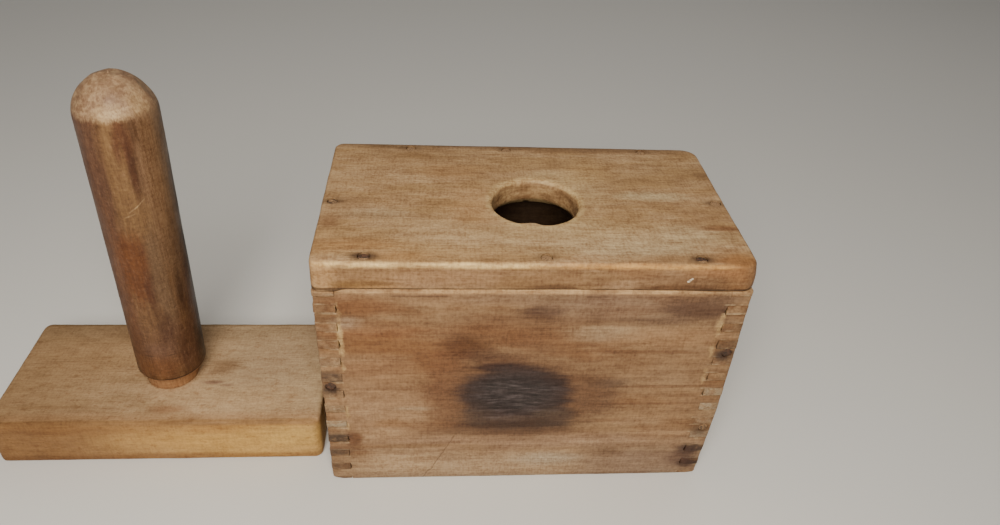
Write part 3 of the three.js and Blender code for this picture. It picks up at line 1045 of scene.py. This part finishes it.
def top_material():
    place = Graph("top_wood").place(BOX_FOOT)
    x, y, z = place.split()
    look = {"ring": 3.6, "shift": 2.2, "streaky": 0.25}
    colour, figure = wood(place, 0, "bc9c76", "a98860", [0, 20, 205], **look)
    clouds = place.noise([50, 18, 18], detail=4, roughness=0.6, distortion=0.3, shift=61)
    colour = colour.cover(clouds.step(0.48, 0.72, 0.0, 0.5), "98744c")
    ragged = ragged_edges(place, 0, 63)
    colour = patches(place, colour, ragged, 2, BOX_HEIGHT, TOP_MARKS)
    # The sides of the board are a duller brown than its face, and the dark band along the seam below them is
    # painted shade with some dirt.
    colour = colour.stain(z.step(BOX_HEIGHT - 0.8, BOX_HEIGHT - 2.2), "e6e2e5")
    colour = patches(place, colour, ragged, 1, -HALF_WIDTH, TOP_EDGE_MARKS)
    grime_and_shade = place.noise([11, 11, 3], detail=3, shift=69).step(0.34, 0.58, 0.25, 0.85)
    colour = colour.cover(z.step(TOP_UNDERSIDE + 1.0, TOP_UNDERSIDE + 0.3) * grime_and_shade, "4f3823")
    colour = hole_wear(place, colour, ragged, z)
    colour = rubbed_arris_and_highlight(place, colour, x, y, z)
    colour = nail_halos(place, colour, ragged, top_nails, [5.2, 2.5, 6], 0.95)
    return finish_wood(place, colour, figure, "fffffa", roughness=0.58, shine=0.2)


# ---------------------------------------------------------------- boards with a round hole

TOP_ARRIS = 1.7
PRESS_ARRIS = 1.9
PRESS_LOWER_ARRIS = 1.5
SOCKET_SLACK = 0.12  # finer than the clearance in the CAD model, so that no gap shows
HOLE_FRONT_WEAR = 0.9  # how far the hole's near side stands in
SPLINTER = 2.2  # a tongue of wood left at the near side, with its angle and half width in radians
SPLINTER_ANGLE = -1.72
SPLINTER_WIDTH = 0.24
TOP_POINTS = 260
PRESS_POINTS = 220


def rounded_rectangle(half_x, half_y, radii, count, centre):
    """count points round a rectangle with their outward directions, and their angles seen from centre.

    radii are the corners' radii in the order right back, left back, left front, right front.
    """
    corners = [(1, 1), (-1, 1), (-1, -1), (1, -1)]
    path = []
    for number, ((side_x, side_y), radius) in enumerate(zip(corners, radii)):
        for k in range(13):
            a = math.pi / 2 * (number + k / 12)
            nx, ny = math.cos(a), math.sin(a)
            x, y = side_x * (half_x - radius) + radius * nx, side_y * (half_y - radius) + radius * ny
            path.append((x, y, nx, ny))
    walk = np.array(path + path[:1])
    # Corners get more than their share of the points.
    turns = np.abs(np.diff(np.unwrap(np.arctan2(walk[:, 3], walk[:, 2]))))
    weight = np.hypot(*np.diff(walk[:, :2], axis=0).T) + 5.4 * turns
    distance = np.concatenate([[0], np.cumsum(weight)])
    at = np.linspace(0, distance[-1], count, endpoint=False)
    outline = np.stack([np.interp(at, distance, walk[:, k]) for k in range(4)], 1)
    return outline, np.arctan2(outline[:, 1] - centre[1], outline[:, 0] - centre[0])


def inset_ring(outline, inset, z):
    return [(x - nx * inset, y - ny * inset, z) for x, y, nx, ny in outline]


def hole_ring(angles, extra, z):
    """The worn hole in the top, widened by extra: pulled in at the front, with a splinter there."""
    ring = []
    for a in angles:
        near = max(0.0, math.cos(a + math.pi / 2))  # 1 towards the front
        splinter = SPLINTER * math.exp(-(((a - SPLINTER_ANGLE) / SPLINTER_WIDTH) ** 2))
        r = HOLE_RADIUS - 0.1 - splinter - HOLE_FRONT_WEAR * near**2 + extra * (1 - 0.45 * near)
        r += 0.2 * wobble((10 * math.cos(a), 10 * math.sin(a), z), 7)
        r += 0.12 * wobble((20 * math.cos(a), 20 * math.sin(a), z), 3, 4.0)
        ring.append((HOLE[0] + r * math.cos(a), HOLE[1] + r * math.sin(a), z))
    return ring


def top_board_mesh():
    """The top board's skin: up the hole, over the face to the outer edge, down the side and back below."""
    bottom, top = TOP_UNDERSIDE, BOX_HEIGHT
    outline, angles = rounded_rectangle(HALF_LENGTH, HALF_WIDTH, (8, 4.5, 3.5, 6.5), TOP_POINTS, HOLE)
    bore_foot, bore_top = bottom + HOLE_FLARE, top - HOLE_RIM
    rings = [
        hole_ring(angles, HOLE_FLARE, bottom),
        hole_ring(angles, HOLE_FLARE * 0.45, bottom + HOLE_FLARE * 0.6),
        hole_ring(angles, 0.25, bore_foot),
    ]
    rings += [hole_ring(angles, 0, bore_foot + (bore_top - bore_foot) * k / 5) for k in range(1, 6)]
    rings += [hole_ring(angles, out, top - drop) for drop, out in quarter(HOLE_RIM, 5)]
    rings += between(rings[-1], inset_ring(outline, TOP_ARRIS + 0.4, top), 25, 25)
    rings += [inset_ring(outline, inset, top - drop) for inset, drop in quarter(TOP_ARRIS, 6)]
    side_top, side_foot = top - TOP_ARRIS, bottom + 0.8
    rings += [inset_ring(outline, 0, side_top + (side_foot - side_top) * k / 3) for k in range(1, 4)]
    rings += [inset_ring(outline, 0.1, bottom + 0.2), inset_ring(outline, 0.35, bottom)]
    rings += between(rings[-1], rings[0], 17, 16)
    return mesh_of("top_board", *skin(rings, closed=True))


def wear_top(p, n):
    x, y, z = p
    outward = 0.14 * wobble((x, y, z), 30, 6.0) + 0.06 * wobble((x, y, z), 8, 2.0)
    if abs(n[2]) < 0.8:
        outward -= 0.25 * abs(wobble((x, y, 0), 12, 9.0))
    if z > BOX_HEIGHT - 6:
        # The edge over the front is worn down in a long shallow hollow.
        outward -= 0.35 * max(0.0, 1 - (y + HALF_WIDTH) / 7) * (0.5 + 0.5 * wobble((x, 0, 0), 40, 3.0))
    if z > TOP_UNDERSIDE + 1:
        x, y, z = p + n * outward
    return out_of_true((x, y, z))


# ---------------------------------------------------------------- the press

SHAFT_OFFSET = 0.65  # the shaft was turned a little off the neck's centre, to the right
SHAFT_SIDES = 128
SHAFT_STEPS = 44
END_STEPS = 34
FACET_STEPS = 39

# The knife's cuts on the handle's end: direction round the handle, climb, both in degrees, and depth.
WHITTLING = [
    (22, 36, 0.8),
    (-25, 34, 0.3),
    (-62, 30, 0.25),
    (-100, 34, 0.3),
    (-145, 34, 0.35),
    (170, 46, 0.4),
    (120, 38, 0.6),
    (70, 40, 0.5),
    (-60, 60, 0.3),
    (30, 64, 0.35),
    (150, 68, 0.45),
    (-110, 76, 0.7),
    (60, 84, 0.9),
]


def lean(p):
    return tuple(LEAN_MATRIX @ Vector(p))


def rounded_end(steps):
    """Radius and height of the handle's end, from the shaft to the tip."""
    profile = []
    for k in range(steps + 1):
        a = math.pi / 2 * k / steps
        across = max(0.0, math.cos(a)) ** (2 / END_FULLNESS)
        profile.append((HANDLE_TOP_RADIUS * across, HANDLE_END * math.sin(a) ** (2 / END_FULLNESS)))
    return profile


def whittled_facets():
    """Flat cuts on the rounded end: each a direction and how far from the end's middle its plane lies."""
    facets = []
    for turn, climb, depth in WHITTLING:
        turn, climb = math.radians(turn), math.radians(climb)
        level, height = math.cos(climb), math.sin(climb)
        reach = max(r * level + h * height for r, h in rounded_end(FACET_STEPS))
        facets.append((np.array([level * math.cos(turn), level * math.sin(turn), height]), reach - depth))
    return facets


def handle_profile():
    """Radius and height from the tenon's foot to the tip of the rounded end; the board's top is at 0."""
    profile = [(0, -SOCKET_DEPTH), (TENON_RADIUS * 0.5, -SOCKET_DEPTH), (TENON_RADIUS - 0.8, -SOCKET_DEPTH)]
    profile += [(TENON_RADIUS, h) for h in (-SOCKET_DEPTH + 0.8, -12, -6, 0, 3, 6, NECK_HEIGHT - 0.3)]
    profile += [(TENON_RADIUS + 0.3, NECK_HEIGHT), (HANDLE_RADIUS - 0.5, NECK_HEIGHT)]
    profile += [(HANDLE_RADIUS - 0.15, NECK_HEIGHT + 0.15), (HANDLE_RADIUS, NECK_HEIGHT + 0.5)]
    for k in range(1, SHAFT_STEPS + 1):
        h = NECK_HEIGHT + 0.5 + (HANDLE_LENGTH - NECK_HEIGHT - 0.5) * k / SHAFT_STEPS
        share = (h - NECK_HEIGHT) / (HANDLE_LENGTH - NECK_HEIGHT)
        profile.append((HANDLE_RADIUS + (HANDLE_TOP_RADIUS - HANDLE_RADIUS) * share, h))
    profile += [(r, HANDLE_LENGTH + h) for r, h in rounded_end(END_STEPS)[1:-1]]
    return profile + [(0, HANDLE_LENGTH + HANDLE_END)]


def worked_by_hand(p, r, facets):
    """Where a turned point of the handle ends up: uneven, whittled at the end and a little off centre."""
    x, y, h = p
    around = (x, y, h * 0.25)
    if h > NECK_HEIGHT:
        uneven = 0.16 * wobble(around, 9, 5.0) + 0.08 * wobble(around, 3.5, 8.0)
        x, y = x * (1 + uneven / max(r, 6)), y * (1 + uneven / max(r, 6))
    p = np.array([x, y, h])
    if h > HANDLE_LENGTH - 6:
        for direction, reach in facets:
            over = float(np.dot(p - (0, 0, HANDLE_LENGTH), direction)) - reach
            p = p - direction * max(0.0, over)
    p[0] += SHAFT_OFFSET * smooth(h, NECK_HEIGHT - 0.1, NECK_HEIGHT + 0.1) * (1 - h / HANDLE_LENGTH)
    return p


def handle_mesh():
    facets = whittled_facets()
    rings = []
    for r, h in handle_profile():
        ring = circle(r, SHAFT_SIDES, h)
        rings.append([worked_by_hand(p, r, facets) for p in ring] if r else ring)
    points, faces = skin(rings)
    return mesh_of("handle", [lean(p) for p in points], faces)


def press_board_mesh():
    """The press board's skin: up the leaning socket, over the top, down the sides and under."""
    top, centre = PRESS_HEIGHT, (0.0, HANDLE_Y)
    size = (PRESS_HALF_LENGTH, PRESS_HALF_WIDTH)
    outline, angles = rounded_rectangle(*size, (4, 4, 3.5, 4), PRESS_POINTS, centre)
    bore = TENON_RADIUS + SOCKET_SLACK
    bottom = -SOCKET_DEPTH - SOCKET_CLEARANCE

    def socket_ring(r, h):
        return [lean((r * math.cos(a), r * math.sin(a), h)) for a in angles]

    rings = [[lean((0, 0, bottom))], socket_ring(bore * 0.5, bottom), socket_ring(bore, bottom)]
    rings += [socket_ring(bore, bottom * (1 - k / 4)) for k in range(1, 4)]
    rings.append([(x, y, top - 0.1) for x, y, _ in socket_ring(bore, 0)])
    rings.append([(x, y, top) for x, y, _ in socket_ring(bore + 0.1, 0)])
    rings += between(rings[-1], inset_ring(outline, PRESS_ARRIS + 0.3, top), 25, 25)
    rings += [inset_ring(outline, inset, top - drop) for inset, drop in quarter(PRESS_ARRIS, 5)]
    side_top, side_foot = top - PRESS_ARRIS, PRESS_LOWER_ARRIS
    rings += [inset_ring(outline, 0, side_top + (side_foot - side_top) * k / 7) for k in range(1, 8)]
    rings += [inset_ring(outline, inset, rise) for rise, inset in quarter(PRESS_LOWER_ARRIS, 4)]
    middle = (*centre, 0.0)
    rings += between(rings[-1], [middle] * len(outline), 20, 19)
    return mesh_of("press_board", *skin(rings + [[middle]]))


def wear_press(p, n):
    if math.hypot(p[0], p[1] - HANDLE_Y) < 16:
        return p
    outward = 0.16 * wobble(p, 28, 16.0) + 0.07 * wobble(p, 8, 12.0)
    if abs(n[2]) < 0.9:
        outward -= 0.2 * abs(wobble(p, 14, 19.0))
    if p[2] < 0.5:
        outward = -abs(outward) * 0.4
    return p + n * outward


def press_material():
    place = Graph("press_wood").place(PRESS_FOOT)
    _, y, z = place.split()
    look = {"ring": 3.8, "shift": 13.0, "streaky": 0.15}
    colour, figure = wood(place, 0, "c5a681", "b79974", [0, 30, -70], **look)
    clouds = place.noise([48, 28, 28], detail=4, roughness=0.55, shift=71)
    colour = colour.cover(clouds.step(0.48, 0.72, 0.0, 0.35), "a58461")
    ragged = ragged_edges(place, 0, 73)
    sides = z.step(PRESS_HEIGHT - 0.8, PRESS_HEIGHT - 2.4)
    colour = colour.cover(sides * 0.75, "b48b53")
    top = patches(place, colour, ragged, 2, PRESS_HEIGHT, PRESS_MARKS)
    colour = top.cover(sides, colour)
    front = patches(place, colour, ragged, 1, -PRESS_HALF_WIDTH, PRESS_FRONT_MARKS)
    colour = colour.cover(sides * y.step(0, -10), front)
    # The top turns yellow towards its front edge, and both long edges are darkened with painted shade that
    # tones down the highlight on their rounded arrises.
    yellowed = y.step(-PRESS_HALF_WIDTH + 9, -PRESS_HALF_WIDTH + 3)
    colour = colour.stain(yellowed * z.step(PRESS_HEIGHT - 5, PRESS_HEIGHT, 0.0, 0.5), "efdac8")
    shaded_edges = abs(y).step(PRESS_HALF_WIDTH - 3.2, PRESS_HALF_WIDTH - 0.8)
    colour = colour.stain(shaded_edges * z.step(PRESS_HEIGHT - 3.0, PRESS_HEIGHT - 0.8), "d8ccb4")
    blotches = place.noise([4.5, 3, 3], detail=4, roughness=0.6, shift=74)
    colour = colour.stain(blotches.step(0.54, 0.7, 0.0, 0.4), "c2a48c")
    specks = place.noise([1.6, 1.0, 1.0], detail=2, shift=75)
    colour = colour.stain(specks.step(0.64, 0.76, 0.0, 0.5), "8a6548")
    return finish_wood(place, colour, figure, "fffffc", roughness=0.62, shine=0.22, depth=0.42)


# ---------------------------------------------------------------- the handle's material

HANDLE_FACING = -65  # degrees round the handle from X to the side that the marks are measured from

# Fine scratches on the shaft: how far round, how far up, and how steep.
SCRATCHES = ((-2, 106, 0.7), (0.5, 108, 0.9), (-4, 103, 0.4))


def unroll(place, up):
    """How far round the handle a point lies, from the side that faces the front a little to the right."""
    x, y, _ = place.split()
    across_x, across_y = x + up * -math.tan(LEAN), y - HANDLE_Y
    facing = math.radians(HANDLE_FACING)
    ahead = across_x * math.cos(facing) + across_y * math.sin(facing)
    aside = across_x * -math.sin(facing) + across_y * math.cos(facing)
    return aside.math("ARCTAN2", ahead) * HANDLE_RADIUS


def bare_end(place, unrolled, ragged):
    """The rounded end's colour: bare end grain, paler where it is rubbed."""
    bare = place.noise([3.2, 3.2, 2.4], detail=4, roughness=0.65, shift=89)
    colour = place.graph.mix(bare.step(0.36, 0.64), "8f725a", "a88d70")
    rubbed = unrolled.spot([-3, HANDLE_LENGTH + 3.5, 0], [6, 4, 1], 0.6, ragged, 0.85)
    second = unrolled.spot([9, HANDLE_LENGTH + 6, 0], [4.5, 4, 1], 0.6, ragged, 0.6)
    colour = colour.cover(rubbed.math("MAXIMUM", second), "c2a680")
    hatch = place.noise([0.6, 2.4, 1.2], detail=2, shift=91)
    return colour.cover(hatch.step(0.56, 0.7, 0.0, 0.5), "7c5b46")


def handle_material():
    graph = Graph("handle_wood")
    place = graph.place(PRESS_FOOT)
    up = place.split()[2] - PRESS_HEIGHT
    round_it = unroll(place, up)
    unrolled = graph.node("ShaderNodeCombineXYZ", {0: round_it, 1: up})
    colour, figure = wood(place, 2, "7a5a3c", "5e4029", [2, 1, 0], ring=3.0, shift=19.0)
    ticks = place.noise([0.7, 0.7, 5], detail=3, roughness=0.65, shift=83)
    coarse = place.noise([5, 5, 22], detail=4, roughness=0.6, shift=85)
    ragged = coarse * 1.3 + (ticks * 0.6 + -0.95)
    for side, rise, wide, tall, soft, strength, tone in HANDLE_MARKS:
        amount = unrolled.spot([side, rise, 0], [wide, tall, 1], soft, ragged, strength)
        colour = colour.cover(amount, tone)
    for side, rise, slope in SCRATCHES:
        from_side = round_it - side
        scratch = thin_line(up + from_side * -slope, rise, 0.5, 0.15)
        colour = colour.cover(scratch * abs(from_side).step(2.6, 1.6, 0.0, 0.3), "c9ad88")
    # The worn shaft is finely mottled, pale where it is rubbed.
    mottled = place.noise([1.4, 1.4, 2.6], detail=5, roughness=0.7, shift=86)
    colour = colour.cover(mottled.step(0.5, 0.7, 0.0, 0.2), "a8846a")
    colour = colour.stain(mottled.step(0.48, 0.3, 0.0, 0.22), "86644c")
    # A scored ring low on the shaft.
    broken = place.noise(6, detail=2, shift=87).step(0.42, 0.6, 0.0, 0.7)
    colour = colour.cover(thin_line(up, 25, 0.6, 0.2) * broken, "4a2f20")
    # Painted shade under the shaft's shoulder, then the neck's own colour below it.
    colour = colour.cover(up.step(NECK_HEIGHT + 1.1, NECK_HEIGHT + 0.4, 0.0, 0.8), "3c261a")
    colour = colour.cover(up.step(NECK_HEIGHT + 0.2, NECK_HEIGHT - 0.2), "ac825e")
    jagged = up + (ragged + ticks * 2.2) * 2.0
    end = jagged.step(HANDLE_LENGTH + 2.6, HANDLE_LENGTH + 6.0)
    colour = colour.cover(end, bare_end(place, unrolled, ragged))
    return finish_wood(place, colour, figure, "fffcf1", roughness=0.5, coat=0.06, depth=0.55)


# ---------------------------------------------------------------- build

# The floor and the camera, in metres and radians; the floor is a hair below the flat feet.
FLOOR_HALF_WIDTH = 3.0
FLOOR_LEVEL = -0.05 * MM
CAMERA_PLACE = (0.03978, -0.28101, 0.30187)
CAMERA_TURN = 0.103287
CAMERA_DOWN = 0.63329
CAMERA_ROLL = -0.067638
CAMERA_LENS = 26.93
SENSOR_WIDTH = 36


def build_box():
    ends = box_wall_material("end_wood", 1, 9.1)
    build_wall("front_wall", 0, -1, 0.85, 11, box_wall_material("front_wood", 0, 0.0, front=True))
    build_wall("back_wall", 0, 1, 0.6, 12, box_wall_material("back_wood", 0, 5.3))
    build_wall("left_end_wall", 1, -1, 0.6, 13, ends)
    build_wall("right_end_wall", 1, 1, 0.6, 14, ends)
    mesh = with_nail_holes(top_board_mesh(), top_nails)
    finish_piece("top_board", mesh, BOX_FOOT, top_material(), "box", wear_top)


def build_nail(nail, iron):
    near_front = nail.node.startswith("top_nail_front")

    def dirt(p):
        # The front half of a nail near the front edge has filled up with dirt.
        filled = 0.7 * smooth(nail.head[1] - p[1], 0.0, 1.3) if near_front else 0
        return NAIL_DIRT.get(nail.node, 0.0) + filled

    mesh = mesh_of(nail.node, *nail.shell(nail_profile, dented=True))
    finish_piece(nail.node, mesh, BOX_FOOT, iron, "box", out_of_true, {"dirt": dirt})


def unworn(p, _normal):
    return p


def build_press():
    board, wood_of_board = press_board_mesh(), press_material()
    finish_piece("press_board", board, PRESS_FOOT, wood_of_board, "press", wear_press)
    handle, wood_of_handle = handle_mesh(), handle_material()
    finish_piece("handle", handle, PRESS_FOOT, wood_of_handle, "press_handle", unworn)


def build_floor():
    graph = Graph("pale_floor")
    graph.put(graph.shader.inputs, {"Base Color": "d9d6d0", "Roughness": 0.8})
    corners = [(-1, -1), (1, -1), (1, 1), (-1, 1)]
    points = [(x * FLOOR_HALF_WIDTH, y * FLOOR_HALF_WIDTH, FLOOR_LEVEL) for x, y in corners]
    mesh = mesh_of("floor", points, [(0, 1, 2, 3)])
    mesh.materials.append(graph.material)
    add_object("floor", mesh)


def area_light(name, place, size, power, colour):
    """A square lamp aimed at the middle of the pair."""
    lamp = bpy.data.lights.new(name, "AREA")
    lamp.size = size
    lamp.energy = power
    lamp.color = colour
    made = add_object(name, lamp)
    made.location = place
    made.rotation_mode = "QUATERNION"
    made.rotation_quaternion = (Vector((0, 0, 0.06)) - Vector(place)).to_track_quat("-Z", "Y")
    made.visible_camera = False


def build_lights():
    area_light("key", (0.0, -0.44, 0.50), 0.3, 5.1, (1.0, 0.95, 0.86))
    area_light("fill", (-0.5, -0.6, 0.6), 0.9, 0.8, (1.0, 0.96, 0.9))
    area_light("top", (0.3, 0.5, 1.0), 1.0, 1.8, (1.0, 0.97, 0.92))
    world = bpy.data.worlds.new("studio")
    world.use_nodes = True
    background = world.node_tree.nodes["Background"]
    background.inputs["Color"].default_value = (0.94, 0.93, 0.91, 1)
    background.inputs["Strength"].default_value = 0.2
    bpy.context.scene.world = world


def build_camera():
    """A wide lens close in front of the pair and above it, turned slightly right and tipped to one side."""
    right = Vector((math.cos(CAMERA_TURN), -math.sin(CAMERA_TURN), 0))
    ahead = Vector((math.sin(CAMERA_TURN), math.cos(CAMERA_TURN), 0))
    forward = ahead * math.cos(CAMERA_DOWN) + Vector((0, 0, -1)) * math.sin(CAMERA_DOWN)
    up = right.cross(forward)
    tipped_right = right * math.cos(CAMERA_ROLL) - up * math.sin(CAMERA_ROLL)
    tipped_up = right * math.sin(CAMERA_ROLL) + up * math.cos(CAMERA_ROLL)
    camera = bpy.data.cameras.new("camera")
    camera.lens = CAMERA_LENS
    camera.sensor_width = SENSOR_WIDTH
    camera.clip_start = 0.01
    made = add_object("camera", camera)
    axes = Matrix((tipped_right, tipped_up, -forward)).transposed()
    made.matrix_world = Matrix.Translation(CAMERA_PLACE) @ axes.to_4x4()
    bpy.context.scene.camera = made


build_camera()
build_lights()
build_floor()
build_box()
rust = rusty_iron()
for nail in nails:
    build_nail(nail, rust)
build_press()
